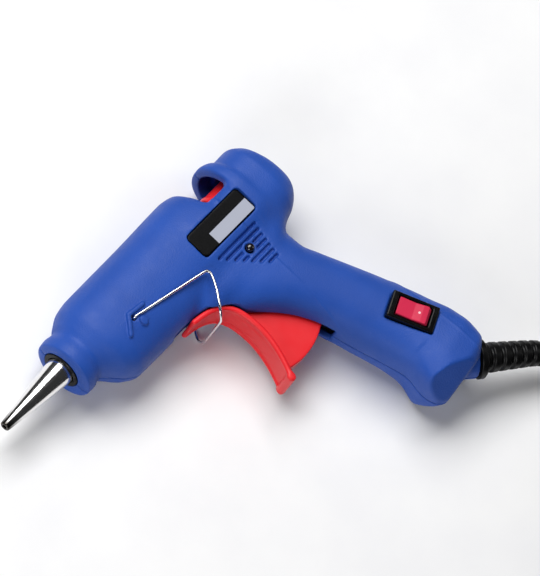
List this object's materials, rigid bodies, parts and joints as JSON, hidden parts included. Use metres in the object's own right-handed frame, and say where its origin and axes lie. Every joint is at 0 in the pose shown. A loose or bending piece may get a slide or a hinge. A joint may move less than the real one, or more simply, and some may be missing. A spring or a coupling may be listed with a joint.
{
  "type": "glue gun",
  "caption": "Small hot-melt glue gun with a squeeze trigger, rocker switch, folding wire stand and a coiled mains lead, lying on its side.",
  "frame": {"origin": "centre of the gun's footprint on the surface it lies on, without its cord", "axes": "-X towards the nozzle, -Y towards the handle's butt, +Z away from the surface, through the left flank"},
  "size_m": [0.2004, 0.2329, 0.0312],
  "materials": {
    "blue_abs": "fine spark-eroded moulded texture",
    "polished_metal": "polished, darkened at the tip",
    "black_plastic": "matte",
    "cast_aluminium": "as cast",
    "heater_wrap": "polyimide film",
    "spring_steel": "bright drawn",
    "silicone": "matte",
    "red_plastic": "satin moulded",
    "plated_wire": "bright nickel",
    "black_gloss_plastic": "satin",
    "rocker_plastic": "gloss, slightly translucent",
    "lens": "dark tinted",
    "lamp_glass": "clear with amber tint",
    "label_film": "printed film, black with a silver field",
    "wire_insulation": "silicone glass sleeve",
    "cord_pvc": "matte, slightly pebbled",
    "relief_pvc": "matte with ribs",
    "plug_pvc": "matte",
    "screw_steel": "zinc, dark",
    "tie_fabric": "hook and loop",
    "plug_brass": "nickel plated"
  },
  "bodies": {
    "casing": {"left_shell": "blue_abs", "right_shell": "blue_abs", "nozzle": "polished_metal", "nozzle_collar": "black_plastic", "heating_chamber": "cast_aluminium", "ptc_heater": "heater_wrap", "heater_clip": "spring_steel", "inlet_sleeve": "silicone", "sleeve_clamp": "spring_steel", "trigger_pin": "spring_steel", "return_spring": "spring_steel", "switch_housing": "black_gloss_plastic", "indicator_lens": "lens", "indicator_lamp": "lamp_glass", "rating_plate": "label_film", "lead_to_heater": "wire_insulation", "lead_to_switch": "wire_insulation", "cord_core": "cord_pvc", "cord_clamp": "black_plastic", "clamp_screw_1": "screw_steel", "clamp_screw_2": "screw_steel", "shell_screw_1": "screw_steel", "shell_screw_2": "screw_steel", "shell_screw_3": "screw_steel", "shell_screw_4": "screw_steel", "strain_relief": "relief_pvc", "mains_cord": "cord_pvc", "cord_coil": "cord_pvc", "cord_tail": "cord_pvc", "cord_tie": "tie_fabric", "plug_body": "plug_pvc", "plug_pin_1": "plug_brass", "plug_pin_2": "plug_brass"},
    "trigger": {"trigger": "red_plastic"},
    "carriage": {"feed_carriage": "red_plastic", "gripper_pin": "spring_steel"},
    "gripper": {"gripper": "spring_steel"},
    "stand": {"stand_wire": "plated_wire"},
    "rocker": {"switch_rocker": "rocker_plastic"}
  },
  "joints": [
    {"name": "trigger_pivot", "type": "hinge", "parent": "casing", "child": "trigger", "pos_m": [0.0096, 0.0252, 0.0152], "axis": [0, 0, 1], "range_deg": [0, 12], "stiffness_Nm_per_rad": 0.4, "springref_deg": -17.19},
    {"name": "carriage_slide", "type": "slide", "parent": "casing", "child": "carriage", "axis": [-1, 0, 0], "range_m": [0, 0.0032]},
    {"name": "gripper_tilt", "type": "hinge", "parent": "carriage", "child": "gripper", "pos_m": [0.0366, 0.0468, 0.0152], "axis": [0, 0, 1], "range_deg": [-4, 0]},
    {"name": "stand_hinge", "type": "hinge", "parent": "casing", "child": "stand", "pos_m": [-0.0289, 0.0474, 0.0152], "axis": [0, 0, -1], "range_deg": [0, 85]},
    {"name": "rocker_tilt", "type": "hinge", "parent": "casing", "child": "rocker", "pos_m": [0.0448, -0.0185, 0.0293], "axis": [0.9291, 0.3697, 0], "range_deg": [0, 11.7]}
  ],
  "couplings": [
    {"joint": "carriage_slide", "follows": "trigger_pivot", "m_per_rad": 0.015},
    {"joint": "gripper_tilt", "follows": "trigger_pivot", "ratio": -0.3}
  ]
}
